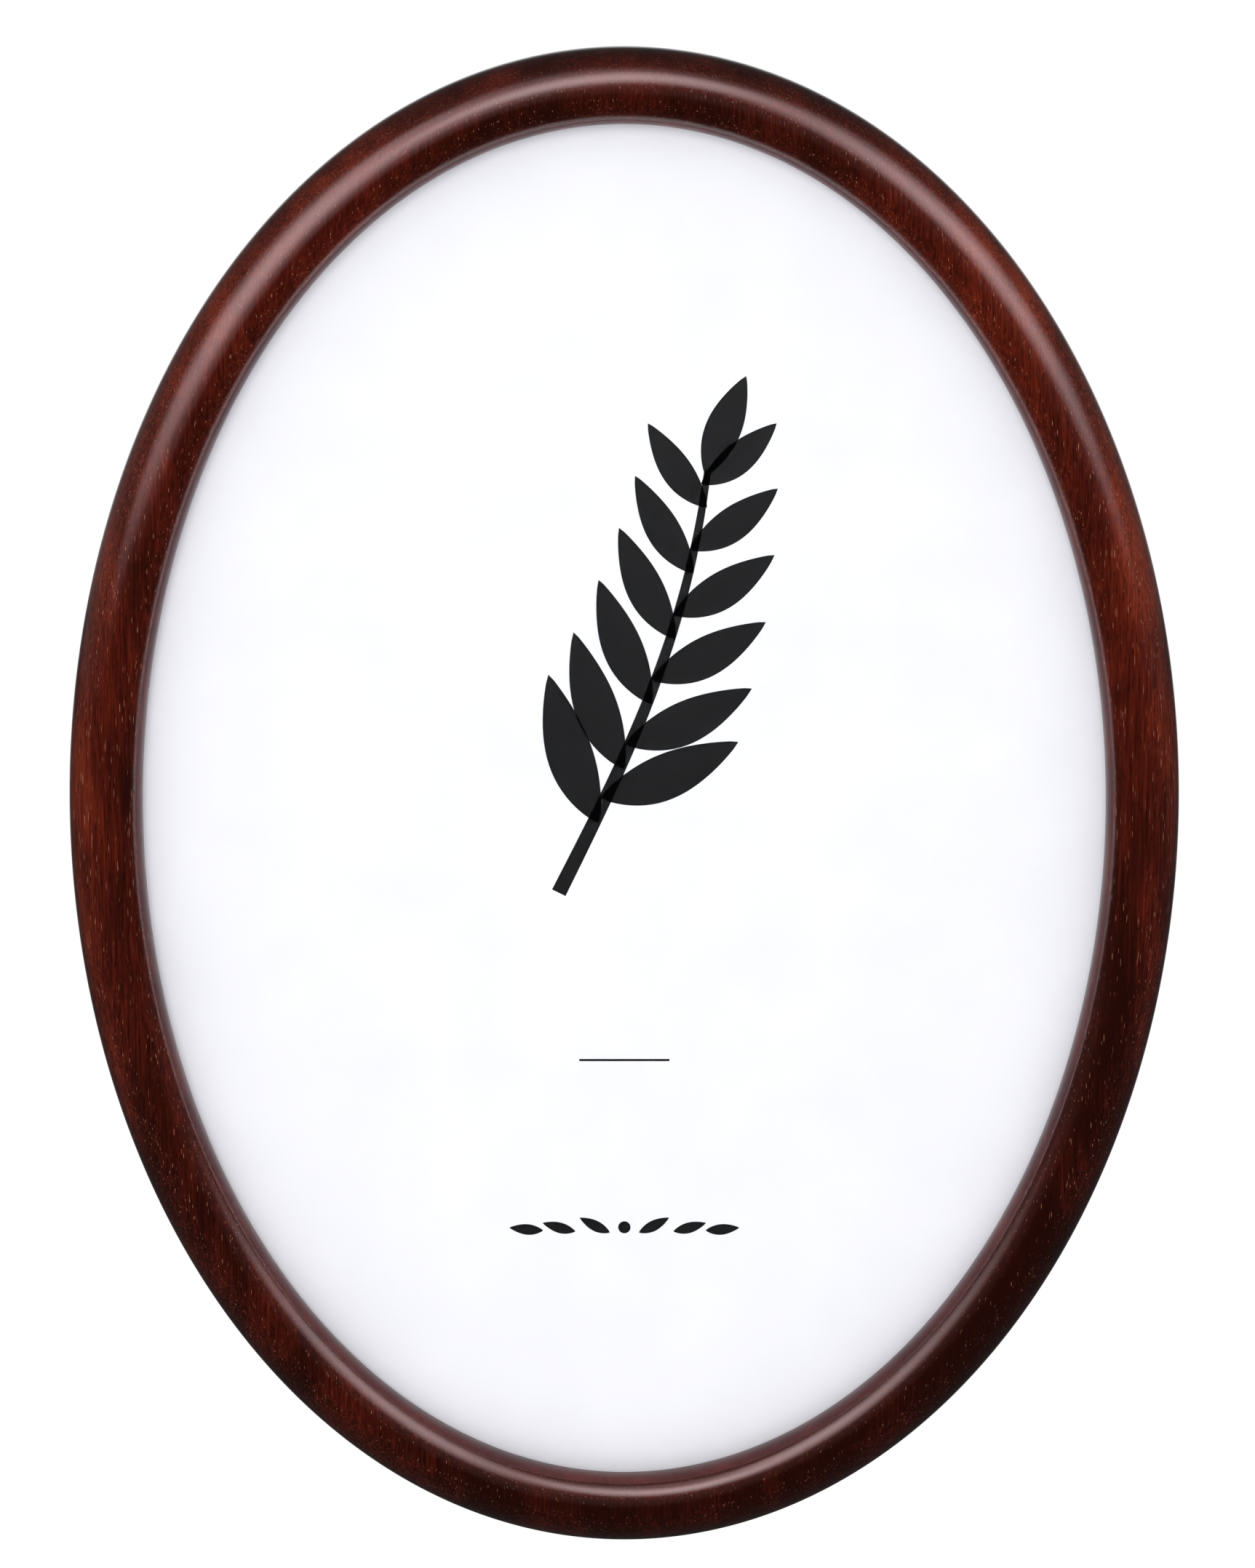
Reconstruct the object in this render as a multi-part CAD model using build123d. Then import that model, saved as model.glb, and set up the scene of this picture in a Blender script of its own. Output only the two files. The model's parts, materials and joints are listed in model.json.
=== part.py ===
from build123d import *
from math import atan2, cos, degrees, radians, sin
import os

# Oval picture frame that hangs on a wall. The front faces -Y, +Z is up and the origin is the middle of the whole
# frame, so the oval's axes lie along X and Z. Lengths are in millimetres and angles in degrees.

# Sight oval: the inner edge of the moulding, drawn with eight arcs that join smoothly
sight_width = 190.0
sight_height = 270.0
side_arc_end = 24.0
end_arc_start = 54.0
shoulder_share = 0.5

# Moulding: a quarter round at the sight edge, a flatter round from the crest outwards, and a rebate at the back
moulding_width = 14.8
inner_round_share = 0.4
outer_round_share = 0.81
outer_crown_depth = 10.8
lip_depth = 7.5
back_edge_radius = 1.5
glue_line_offset = 36.0

# What lies in the rebate, from front to back
insert_overlap = 5.0
rebate_clearance = 0.75
glass_thickness = 2.0
sheet_thickness = 0.3
sheet_margin = 0.3
board_thickness = 3.0
board_margin = 0.25

# Turn buttons: flat steel catches with a lifted tip, each on its own screw
button_thickness = 1.0
button_gap = 0.2
button_pivot_radius = 4.5
button_tip_radius = 2.8
button_reach = 14.0
button_bend_start = 9.0
button_tip_rise = 1.2
button_bend_radius = 5.0
button_bore_clearance = 0.06
shoulder_button_angle = 48.0

# Pan head screws that carry the buttons
screw_shank_radius = 1.45
screw_shank_length = 9.0
screw_point_length = 2.2
screw_head_radius = 3.4
screw_head_height = 2.2
screw_head_rim = 0.7
screw_head_gap = 0.1
pilot_clearance = 0.03
pilot_end_room = 0.5

# Hangers: a strap folded round a wire ring and held to the board by a tubular rivet
wire_radius = 0.9
wire_clearance = 0.08
strap_thickness = 0.5
strap_width = 9.0
strap_end_radius = 4.2
rivet_distance = 7.0
ring_side_room = 0.35
ring_corner_radius = 1.9
ring_tip_radius = 2.6
ring_height = 18.0
ring_rest_gap = 0.25
hanger_top_inset = 32.0
hanger_side_inset = 30.0

# Tubular rivets
rivet_outer_radius = 1.7
rivet_wall = 0.45
rivet_head_radius = 3.0
rivet_head_height = 0.8
rivet_head_round = 0.6
rivet_flare_radius = 2.5
rivet_flare_depth = 0.9
rivet_clearance = 0.05
rivet_front_recess = 0.1

# Worked out from the sizes above
inner_round_radius = moulding_width * inner_round_share
outer_round_radius = (moulding_width - inner_round_radius) * outer_round_share
rebate_wall = insert_overlap + rebate_clearance
rebate_depth = glass_thickness + sheet_thickness + board_thickness
moulding_depth = lip_depth + rebate_depth
screw_line = (rebate_wall + moulding_width) / 2
barrel_bore = wire_radius + wire_clearance
barrel_radius = barrel_bore + strap_thickness
tab_thickness = 2 * strap_thickness
ring_base_half = strap_width / 2 + ring_side_room + 2 * ring_corner_radius
overrun = 1.0


def ring_flank():
    """Angle of the wire ring's sides, from the barrel to the tip."""
    return degrees(atan2(ring_height, ring_base_half))


def ring_crossing():
    """Distance from the barrel at which the wire starts to lie over the strap."""
    inner_offset = wire_radius / sin(radians(ring_flank()))
    half_left = ring_base_half - inner_offset - strap_width / 2
    return max(half_left, wire_radius) * ring_height / ring_base_half


def ring_tip_reach():
    """Distance of the wire's centre line at the tip from the barrel's axis."""
    half_tip_angle = radians(90 - ring_flank())
    return ring_height - ring_tip_radius / sin(half_tip_angle) + ring_tip_radius


ring_lean = degrees(
    atan2(tab_thickness + wire_radius + ring_rest_gap - barrel_radius, ring_crossing())
)
ring_projection = barrel_radius + ring_tip_reach() * sin(radians(ring_lean)) + wire_radius
screw_projection = button_gap + button_thickness + screw_head_gap + screw_head_height
back_projection = max(ring_projection, screw_projection)
front_y = -(moulding_depth + back_projection) / 2
back_y = front_y + moulding_depth


def ellipse_radius(angle):
    """Radius of curvature of the true ellipse where its normal has this angle."""
    a = sight_width / 2
    b = sight_height / 2
    reach = (a * cos(radians(angle))) ** 2 + (b * sin(radians(angle))) ** 2
    return (a * b) ** 2 / reach**1.5


def oval_arcs():
    """The sight oval as eight arcs: centre, radius, start angle and end angle of each."""
    a = sight_width / 2
    b = sight_height / 2
    side_cos, side_sin = cos(radians(side_arc_end)), sin(radians(side_arc_end))
    end_cos, end_sin = cos(radians(end_arc_start)), sin(radians(end_arc_start))
    shoulder_angle = side_arc_end + shoulder_share * (end_arc_start - side_arc_end)
    shoulder_radius = ellipse_radius(shoulder_angle)

    # The side and end arcs close the quarter oval on the width and the height
    width_left = a - shoulder_radius * (side_cos - end_cos)
    height_left = b - shoulder_radius * (end_sin - side_sin)
    scale = end_cos * side_sin - (1 - side_cos) * (1 - end_sin)
    end_radius = (width_left * side_sin - height_left * (1 - side_cos)) / scale
    side_radius = (height_left * end_cos - width_left * (1 - end_sin)) / scale

    side_x = a - side_radius
    end_z = b - end_radius
    shoulder_x = side_x + (side_radius - shoulder_radius) * side_cos
    shoulder_z = (side_radius - shoulder_radius) * side_sin
    return [
        ((side_x, 0), side_radius, -side_arc_end, side_arc_end),
        ((shoulder_x, shoulder_z), shoulder_radius, side_arc_end, end_arc_start),
        ((0, end_z), end_radius, end_arc_start, 180 - end_arc_start),
        ((-shoulder_x, shoulder_z), shoulder_radius, 180 - end_arc_start, 180 - side_arc_end),
        ((-side_x, 0), side_radius, 180 - side_arc_end, 180 + side_arc_end),
        ((-shoulder_x, -shoulder_z), shoulder_radius, 180 + side_arc_end, 180 + end_arc_start),
        ((0, -end_z), end_radius, 180 + end_arc_start, 360 - end_arc_start),
        ((shoulder_x, -shoulder_z), shoulder_radius, 360 - end_arc_start, 360 - side_arc_end),
    ]


def oval_point(angle, offset):
    """X and Z of the point with this normal angle, on the oval that lies offset outside the sight oval."""
    for (centre_x, centre_z), radius, start, end in oval_arcs():
        turned = start + (angle - start) % 360
        if turned <= end:
            reach = radius + offset
            return centre_x + reach * cos(radians(angle)), centre_z + reach * sin(radians(angle))


def oval_plate(offset, plate_back_y, thickness):
    """Flat oval plate whose edge lies offset outside the sight oval."""
    edges = [
        CenterArc(centre, radius + offset, start, end - start)
        for centre, radius, start, end in oval_arcs()
    ]
    face = Plane.XZ.offset(-plate_back_y) * make_face(edges)
    return extrude(face, amount=thickness, dir=(0, -1, 0))


def flank_radius():
    """Radius of the outer flank, which runs from the outer round to a side that stands upright."""
    span = moulding_width - inner_round_radius
    reach = span**2 + outer_crown_depth**2 - 2 * outer_crown_depth * outer_round_radius
    return reach / (2 * (span - outer_round_radius))


def flank_turn():
    """Turn of the outer flank, in degrees."""
    span = moulding_width - inner_round_radius
    return degrees(atan2(outer_crown_depth - outer_round_radius, flank_radius() - span))


def moulding_section(radius):
    """Section of the moulding at this distance from an arc's centre, with its depth running to the back."""
    crest = radius + inner_round_radius
    outer_edge = radius + moulding_width
    outer_side_end = moulding_depth - back_edge_radius
    flank = flank_radius()
    turn = flank_turn()
    arcs = [
        CenterArc((crest, inner_round_radius), inner_round_radius, 180, 90),
        CenterArc((crest, outer_round_radius), outer_round_radius, 270, 90 - turn),
        CenterArc((outer_edge - flank, outer_crown_depth), flank, 0, -turn),
        CenterArc((outer_edge - back_edge_radius, outer_side_end), back_edge_radius, 0, 90),
    ]
    outer_side = Line((outer_edge, outer_crown_depth), (outer_edge, outer_side_end))
    back_and_rebate = Polyline(
        (outer_edge - back_edge_radius, moulding_depth),
        (radius + rebate_wall, moulding_depth),
        (radius + rebate_wall, lip_depth),
        (radius, lip_depth),
        (radius, inner_round_radius),
    )
    return make_face(arcs + [outer_side] + back_and_rebate.edges())


def moulding_ring():
    """The whole oval ring: the section turned about each arc's centre in its turn."""
    ring = None
    for (centre_x, centre_z), radius, start, end in oval_arcs():
        across = (cos(radians(start)), 0, sin(radians(start)))
        ahead = (-sin(radians(start)), 0, cos(radians(start)))
        plane = Plane(origin=(centre_x, front_y, centre_z), x_dir=across, z_dir=ahead)
        axis = Axis((centre_x, 0, centre_z), (0, -1, 0))
        span = revolve(plane * moulding_section(radius), axis=axis, revolution_arc=end - start)
        ring = span if ring is None else ring + span
    return ring


def button_angles():
    """Each button's name and the angle of the oval's normal at its screw."""
    return {
        "turn_button_right": 0,
        "turn_button_upper_right": shoulder_button_angle,
        "turn_button_upper_left": 180 - shoulder_button_angle,
        "turn_button_left": 180,
        "turn_button_lower_left": 180 + shoulder_button_angle,
        "turn_button_lower_right": 360 - shoulder_button_angle,
    }


def button_plane(angle):
    """Plane on the ring's back at a button's screw: X runs in to the tip and Z runs back."""
    x, z = oval_point(angle, screw_line)
    inwards = (-cos(radians(angle)), 0, -sin(radians(angle)))
    return Plane(origin=(x, back_y, z), x_dir=inwards, z_dir=(0, 1, 0))


def pilot_holes():
    """One blind hole for each screw's shank."""
    depth = screw_shank_length + pilot_end_room
    hole = Cylinder(
        screw_shank_radius + pilot_clearance,
        depth + overrun,
        align=(Align.CENTER, Align.CENTER, Align.MAX),
    )
    return [button_plane(angle) * Pos(0, 0, overrun) * hole for angle in button_angles().values()]


def ring_pieces():
    """The ring's four glued pieces, cut on two upright planes, so that the grain of each can stand upright."""
    ring = moulding_ring() - pilot_holes()
    width = sight_width + 2 * moulding_width + 2 * overrun
    height = sight_height + 2 * moulding_width + 2 * overrun
    depth = moulding_depth + 2 * overrun
    middle_y = front_y + moulding_depth / 2
    side_width = width / 2 - glue_line_offset
    side_x = glue_line_offset + side_width / 2
    side_room = Box(side_width, depth, height)
    end_room = Box(2 * glue_line_offset, depth, height / 2)
    return {
        "ring_left": ring & Pos(-side_x, middle_y, 0) * side_room,
        "ring_right": ring & Pos(side_x, middle_y, 0) * side_room,
        "ring_top": ring & Pos(0, middle_y, height / 4) * end_room,
        "ring_bottom": ring & Pos(0, middle_y, -height / 4) * end_room,
    }


def turn_button():
    """A button on its plane: flat over the ring and the board, with the tip bent up."""
    tip_end = button_reach + button_tip_radius
    plan = make_hull(
        Circle(button_pivot_radius).edges()
        + (Pos(button_reach, 0) * Circle(button_tip_radius)).edges()
    )
    outline = extrude(plan, amount=button_tip_rise + 2 * button_thickness)
    corner = button_bend_start
    side = Polyline(
        (-button_pivot_radius, 0),
        (corner, 0),
        (tip_end, button_tip_rise),
        (tip_end, button_tip_rise + button_thickness),
        (corner, button_thickness),
        (-button_pivot_radius, button_thickness),
        close=True,
    )
    side_face = make_face(side)
    bends = side_face.vertices().filter_by(lambda v: abs(v.X - corner) < button_thickness / 2)
    side_face = fillet(bends, button_bend_radius)
    bent_strip = extrude(Plane.XZ * side_face, amount=button_pivot_radius, both=True)
    bore = Cylinder(screw_shank_radius + button_bore_clearance, 4 * button_thickness)
    return Pos(0, 0, button_gap) * ((outline & bent_strip) - bore)


def button_screw():
    """Pan head screw on a button's plane, turned about its own axis."""
    head_under = button_gap + button_thickness + screw_head_gap
    head_top = head_under + screw_head_height
    outline = Polyline(
        (0, head_top),
        (0, -screw_shank_length),
        (screw_shank_radius, screw_point_length - screw_shank_length),
        (screw_shank_radius, head_under),
        (screw_head_radius, head_under),
        (screw_head_radius, head_under + screw_head_rim),
    )
    crown = JernArc(
        start=(0, head_top), tangent=(1, 0), radius=crown_radius(), arc_size=-crown_sweep()
    )
    profile = make_face(outline.edges() + [crown])
    return revolve(Plane.XZ * profile, axis=Axis.Z)


def crown_radius():
    """Radius of the pan head's crown, from its rise over the rim."""
    rise = screw_head_height - screw_head_rim
    return (screw_head_radius**2 + rise**2) / (2 * rise)


def crown_sweep():
    """Turn of the pan head's crown from its middle to its rim."""
    rise = screw_head_height - screw_head_rim
    return degrees(atan2(screw_head_radius, crown_radius() - rise))


def hanger_planes():
    """Plane of each hanger on the board's back: X runs from the barrel along the strap and Z runs back."""
    top_z = sight_height / 2 + insert_overlap - hanger_top_inset
    side_x = sight_width / 2 + insert_overlap - hanger_side_inset
    return {
        "top": Plane(origin=(0, back_y, top_z), x_dir=(0, 0, -1), z_dir=(0, 1, 0)),
        "side": Plane(origin=(side_x, back_y, 0), x_dir=(-1, 0, 0), z_dir=(0, 1, 0)),
    }


def hanger_strap():
    """Strap of a hanger: two layers of sheet that fold round the wire in a barrel."""
    tab_length = rivet_distance + strap_end_radius
    tab = Pos(tab_length / 2, tab_thickness / 2) * Rectangle(tab_length, tab_thickness)
    barrel = Pos(0, barrel_radius) * Circle(barrel_radius)
    bore = Pos(0, barrel_radius) * Circle(barrel_bore)
    side = (tab + barrel) - bore
    folded = extrude(Plane.XZ * side, amount=strap_width / 2, both=True)
    root = Rectangle(2 * barrel_radius, strap_width)
    end = Pos(rivet_distance, 0) * Circle(strap_end_radius)
    outline = extrude(make_hull(root.edges() + end.edges()), amount=3 * barrel_radius)
    hole = Pos(rivet_distance, 0) * Cylinder(rivet_outer_radius + rivet_clearance, 4 * tab_thickness)
    return (folded & outline) - hole


def hanger_wire():
    """Triangular wire ring of a hanger, at rest over its strap."""
    triangle = make_face(
        Polyline((0, ring_base_half), (ring_height, 0), (0, -ring_base_half), close=True)
    )
    base_corners = triangle.vertices().filter_by(lambda v: v.X < ring_height / 2)
    loop = fillet(base_corners, ring_corner_radius)
    loop = fillet(loop.vertices().sort_by(Axis.X)[-1], ring_tip_radius)
    path = loop.face().outer_wire()
    section = Plane(origin=path @ 0, z_dir=path % 0) * Circle(wire_radius)
    ring = sweep(section, path=path)
    return Pos(0, 0, barrel_radius) * Rot(0, -ring_lean, 0) * ring


def hanger_rivet():
    """Tubular rivet: head on the strap, tube through the board and flare in the board's front."""
    head_under = tab_thickness
    head_top = head_under + rivet_head_height
    bore = rivet_outer_radius - rivet_wall
    front = rivet_front_recess - board_thickness
    flare_start = front + rivet_flare_depth
    outline = Polyline(
        (bore, head_top),
        (bore, flare_start),
        (rivet_flare_radius - rivet_wall, front),
        (rivet_flare_radius, front),
        (rivet_outer_radius, flare_start),
        (rivet_outer_radius, head_under),
        (rivet_head_radius, head_under),
        (rivet_head_radius, head_top),
        close=True,
    )
    profile = make_face(outline)
    rim = profile.vertices().sort_by(Axis.Y)[-2:].sort_by(Axis.X)[-1]
    profile = fillet(rim, rivet_head_round)
    return Pos(rivet_distance, 0) * revolve(Plane.XZ * profile, axis=Axis.Z)


def rivet_hole():
    """Hole for a rivet through the board, widened in front for its flare."""
    radius = rivet_outer_radius + rivet_clearance
    flare = rivet_flare_radius + rivet_clearance
    front = rivet_front_recess - board_thickness
    outline = Polyline(
        (0, overrun),
        (0, -board_thickness - overrun),
        (flare, -board_thickness - overrun),
        (flare, front),
        (radius, front + rivet_flare_depth),
        (radius, overrun),
        close=True,
    )
    return Pos(rivet_distance, 0) * revolve(Plane.XZ * make_face(outline), axis=Axis.Z)


def rebate_stack():
    """Glass, insert sheet and backing board, from front to back."""
    glass_back_y = front_y + lip_depth + glass_thickness
    sheet_back_y = glass_back_y + sheet_thickness
    board_holes = [plane * rivet_hole() for plane in hanger_planes().values()]
    return {
        "glass_pane": oval_plate(insert_overlap, glass_back_y, glass_thickness),
        "insert_sheet": oval_plate(insert_overlap - sheet_margin, sheet_back_y, sheet_thickness),
        "backing_board": oval_plate(insert_overlap + board_margin, back_y, board_thickness)
        - board_holes,
    }


def hanger_pieces():
    """Both hangers: a strap and a wire ring each, and the two like rivets in one group."""
    pieces = {}
    rivets = []
    for side, plane in hanger_planes().items():
        pieces["hanger_strap_" + side] = plane * hanger_strap()
        pieces["hanger_ring_" + side] = plane * hanger_wire()
        rivets.append(plane * hanger_rivet())
    pieces["hanger_rivets"] = Compound(children=rivets)
    return pieces


def button_pieces():
    """The turn buttons and, in one group, their like screws."""
    pieces = {name: button_plane(angle) * turn_button() for name, angle in button_angles().items()}
    screws = [button_plane(angle) * button_screw() for angle in button_angles().values()]
    pieces["button_screws"] = Compound(children=screws)
    return pieces


def main():
    os.makedirs("parts", exist_ok=True)
    pieces = {}
    pieces.update(ring_pieces())
    pieces.update(rebate_stack())
    pieces.update(button_pieces())
    pieces.update(hanger_pieces())
    for name, piece in pieces.items():
        export_step(piece, "parts/" + name + ".step")


main()
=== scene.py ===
import json
from math import atan2, cos, degrees, pi, radians, sin

import bpy
import numpy as np
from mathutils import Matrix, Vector


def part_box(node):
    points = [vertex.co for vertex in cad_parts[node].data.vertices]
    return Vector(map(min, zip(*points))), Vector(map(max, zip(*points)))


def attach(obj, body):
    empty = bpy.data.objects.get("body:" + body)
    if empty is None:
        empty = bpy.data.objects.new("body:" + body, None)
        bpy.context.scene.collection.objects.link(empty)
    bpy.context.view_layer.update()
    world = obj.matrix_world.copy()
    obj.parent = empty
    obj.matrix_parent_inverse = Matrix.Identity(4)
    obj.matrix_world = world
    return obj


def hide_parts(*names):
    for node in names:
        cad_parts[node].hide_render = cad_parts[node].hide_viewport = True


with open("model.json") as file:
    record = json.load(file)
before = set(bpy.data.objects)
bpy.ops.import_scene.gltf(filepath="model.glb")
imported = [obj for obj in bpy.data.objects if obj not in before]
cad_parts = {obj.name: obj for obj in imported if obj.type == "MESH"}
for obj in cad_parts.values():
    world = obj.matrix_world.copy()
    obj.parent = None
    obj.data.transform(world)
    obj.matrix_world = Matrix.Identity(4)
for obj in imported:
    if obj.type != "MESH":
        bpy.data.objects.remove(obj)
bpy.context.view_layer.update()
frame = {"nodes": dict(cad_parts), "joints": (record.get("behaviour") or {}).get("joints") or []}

# Sizes in millimetres, most of them the same as the solids'. Depths run back from the moulding's crest.
MM = 0.001
SIGHT_HALF_WIDTH = 95.0
SIGHT_HALF_HEIGHT = 135.0
MOULDING_WIDTH = 14.8
INNER_ROUND = 0.4 * MOULDING_WIDTH
OUTER_ROUND = 0.81 * (MOULDING_WIDTH - INNER_ROUND)
OUTER_CROWN_DEPTH = 10.8
LIP_DEPTH = 7.5
MOULDING_DEPTH = 12.8
REBATE_WALL = 5.75
BACK_EDGE_RADIUS = 1.5
GLUE_LINE = 36.0
GLASS_OVERLAP = 5.0
GLASS_THICKNESS = 2.0
GLASS_SEAM = 0.25  # chamfer of the cut pane's edges
PANE_TO_SHEET = 0.08  # air between the two, so that the print lies in air and not in the glass
INK_TO_SHEET = 0.01
INK_THICKNESS = 0.02
EDGE_EASE = 0.3  # round on the moulding's back edges at the rebate and at the lip
SCREW_SHANK_RADIUS = 1.45
SCREW_SHANK_LENGTH = 9.0
SCREW_POINT_LENGTH = 2.2
SCREW_HEAD_UNDER = 1.3
SCREW_HEAD_RADIUS = 3.4
SCREW_HEAD_HEIGHT = 2.2
SCREW_HEAD_RIM = 0.7
SCREW_HEAD_EASE = 0.12
SCREW_TIP_SHARE = 0.06  # of the shank's radius
CROSS_REACH = 1.9  # from the screw's axis to the wings' ends
CROSS_DEPTH = 1.25
CROSS_HALF_WIDTH = 0.5
CROSS_FLANK = 0.16  # how far the wings' flanks slope in
CROSS_FLOOR_POWER = 0.6  # how roundly the cross gets shallower towards its ends

# Points along each arc of the moulding's section, and how many from the sight edge on are only sealed
INNER_POINTS = 25
OUTER_POINTS = 16
FLANK_POINTS = 18
BACK_EDGE_POINTS = 8
EASE_POINTS = 4
SEALED_POINTS = 9
# Sections along a side board and along a top or bottom board, and halvings that find their ends
SIDE_SECTIONS = 150
END_SECTIONS = 60
HALVINGS = 50
# Points round a plate, along the print's leaf, stem, rule and dot, and round a screw
PLATE_POINTS = 240
LEAF_POINTS = 22
STEM_POINTS = 40
RULE_POINTS = 20
DOT_POINTS = 24
SCREW_COLUMNS = 96
# A screw crown's rows: wide steps that end this far outside the cross, and fine ones from just outside it
# to near the axis
CROWN_ROWS = 9
CROWN_ROWS_END = 0.2
CROSS_ROWS = 29
CROSS_ROWS_START = 0.12
CROSS_ROWS_END = 0.06
SHARP_ANGLE = 38  # degrees between two faces from which their edge shows as an edge

# How much deeper the stain has gone in, as a part taken off the wood's tone
STAIN_GROUND = 0.06
# How much darker the top and the bottom are made, also as a part taken off the wood's tone
TOP_DARKENING = 0.17
BOTTOM_DARKENING = 0.09
TOP_BOTTOM_POWER = 4  # how close to the top and the bottom the darkening reaches
# Painted shade on the lower right and the lower left: strength, place in degrees clockwise from the right,
# and how narrow it is
PAINTED_SHADE_RUNS = ((0.22, 38, 6), (0.1, 150, 3))
# Painted light on the outer side, more on the upper part: from this far outside the sight edge, over this
# width, and how much
PAINTED_LIGHT_START = 6.0
PAINTED_LIGHT_WIDTH = 6.0
PAINTED_LIGHT_BELOW = 0.05
PAINTED_LIGHT_ABOVE = 0.16
PAINTED_LIGHT_BLEND = 0.6  # from below to above, as a share of the lower half of the oval
PAINTED_LIGHT_TOP_BOTTOM_SHARE = 0.6  # of it that is missing towards the top and the bottom

front_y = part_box("ring_left")[0].y / MM
back_y = front_y + MOULDING_DEPTH


def linear(code):
    """An sRGB hex colour as linear red, green and blue, and full alpha."""
    channels = [int(code[i : i + 2], 16) / 255 for i in (0, 2, 4)]
    return [c / 12.92 if c <= 0.04045 else ((c + 0.055) / 1.055) ** 2.4 for c in channels] + [1.0]


def add(tree, kind, inputs=None, stops=None, **settings):
    """Adds a shader node: its settings, its input values and links, and its colour stops."""
    made = tree.nodes.new("ShaderNode" + kind)
    for key, value in settings.items():
        setattr(made, key, value)
    for key, value in (inputs or {}).items():
        if isinstance(value, bpy.types.NodeSocket):
            tree.links.new(value, made.inputs[key])
        else:
            made.inputs[key].default_value = value
    if stops:
        elements = made.color_ramp.elements
        while len(elements) < len(stops):
            elements.new(0.5)
        for element, (place, colour) in zip(elements, stops):
            element.position = place
            element.color = colour
    return made


def material(name):
    """An empty material and its node tree."""
    made = bpy.data.materials.new(name)
    made.use_nodes = True
    made.node_tree.nodes.clear()
    return made, made.node_tree


def grey(value):
    """A grey of this linear brightness."""
    return (value, value, value, 1.0)


def lacquered_mahogany():
    """A close hardwood turned round, stained dark mahogany and sprayed with a semi-gloss lacquer.

    The eye sees upright streaks, cloudy darker patches, and pores as pale dashes, which shorten to dots where
    the round cuts across them.
    """
    made, tree = material("mahogany_stained_wood_lacquered")
    coord = add(tree, "TexCoord").outputs["Object"]
    shift = add(tree, "Attribute", attribute_name="board_shift").outputs["Vector"]
    placed = add(tree, "VectorMath", {0: coord, 1: shift}, operation="ADD").outputs[0]

    # Streaks 0.4 mm wide and some 12 mm long, upright in every board
    streak_space = add(tree, "Mapping", {"Vector": placed, "Scale": (2400, 2400, 85)}).outputs[0]
    streaks = add(tree, "TexNoise", {"Vector": streak_space, "Scale": 1.0, "Detail": 4.0, "Roughness": 0.6})
    # Bands of the year rings, 5 mm apart, and clouds of stain 12 mm across and 30 mm tall, which run on over
    # the joints
    band_space = add(tree, "Mapping", {"Vector": placed, "Scale": (220, 160, 18)}).outputs[0]
    bands = add(tree, "TexNoise", {"Vector": band_space, "Scale": 1.0, "Detail": 3.0, "Distortion": 0.5})
    cloud_space = add(tree, "Mapping", {"Vector": coord, "Scale": (85, 85, 34)}).outputs[0]
    clouds = add(tree, "TexNoise", {"Vector": cloud_space, "Scale": 1.0, "Detail": 2.0})

    tone = add(tree, "Math", {0: streaks.outputs[0], 1: 0.6}, operation="MULTIPLY").outputs[0]
    tone = add(tree, "Math", {0: bands.outputs[0], 1: 0.2, 2: tone}, operation="MULTIPLY_ADD").outputs[0]
    tone = add(tree, "Math", {0: clouds.outputs[0], 1: 0.45, 2: tone}, operation="MULTIPLY_ADD").outputs[0]
    # Each piece says how much deeper the stain has gone in there, with painted shade and painted light
    stain_and_shading = add(tree, "Attribute", attribute_name="stain_and_painted_shading").outputs["Fac"]
    tone = add(tree, "Math", {0: tone, 1: stain_and_shading}, operation="SUBTRACT").outputs[0]
    stain = add(
        tree,
        "ValToRGB",
        {"Fac": tone},
        stops=[
            (0.36, linear("1f0501")),
            (0.48, linear("340b04")),
            (0.59, linear("4a1408")),
            (0.74, linear("6c240e")),
        ],
    ).outputs[0]

    # Pores up to 0.13 mm wide and 2.7 mm long, drawn a little wide so that they still show
    pore_space = add(tree, "Mapping", {"Vector": placed, "Scale": (4900, 4900, 240)}).outputs[0]
    pores = add(tree, "TexVoronoi", {"Vector": pore_space, "Scale": 1.0, "Randomness": 1.0})
    chance = add(tree, "SeparateColor", {0: pores.outputs["Color"]})
    width = add(
        tree,
        "MapRange",
        {"Value": chance.outputs[0], "From Min": 0.1, "From Max": 1.0, "To Min": 0.0, "To Max": 0.33},
    ).outputs[0]
    inside = add(tree, "Math", {0: width, 1: pores.outputs["Distance"]}, operation="SUBTRACT").outputs[0]
    pore_mask = add(
        tree, "MapRange", {"Value": inside, "From Min": 0.0, "From Max": 0.06, "To Min": 0.0, "To Max": 1.0}
    ).outputs[0]
    pale = add(
        tree,
        "MapRange",
        {"Value": chance.outputs[1], "From Min": 0.25, "From Max": 0.9, "To Min": 0.0, "To Max": 0.85},
    ).outputs[0]
    # Deep stain and the painted shade make the pores darker too, and the painted light makes them paler
    pale = add(
        tree, "Math", {0: stain_and_shading, 1: -1.1, 2: pale}, operation="MULTIPLY_ADD", use_clamp=True
    ).outputs[0]
    pale = add(tree, "Math", {0: pore_mask, 1: pale}, operation="MULTIPLY").outputs[0]
    colour = add(tree, "Mix", {0: pale, 6: stain, 7: linear("aa765a")}, data_type="RGBA").outputs[2]

    # Dark pores, 0.3 mm wide and 1.4 mm long
    dark_space = add(tree, "Mapping", {"Vector": placed, "Scale": (1700, 1700, 330)}).outputs[0]
    dark = add(tree, "TexVoronoi", {"Vector": dark_space, "Scale": 1.0, "Randomness": 1.0})
    dark_mask = add(
        tree,
        "MapRange",
        {"Value": dark.outputs["Distance"], "From Min": 0.16, "From Max": 0.30, "To Min": 0.6, "To Max": 0.0},
    ).outputs[0]
    colour = add(tree, "Mix", {0: dark_mask, 6: colour, 7: linear("120301")}, data_type="RGBA").outputs[2]

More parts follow.
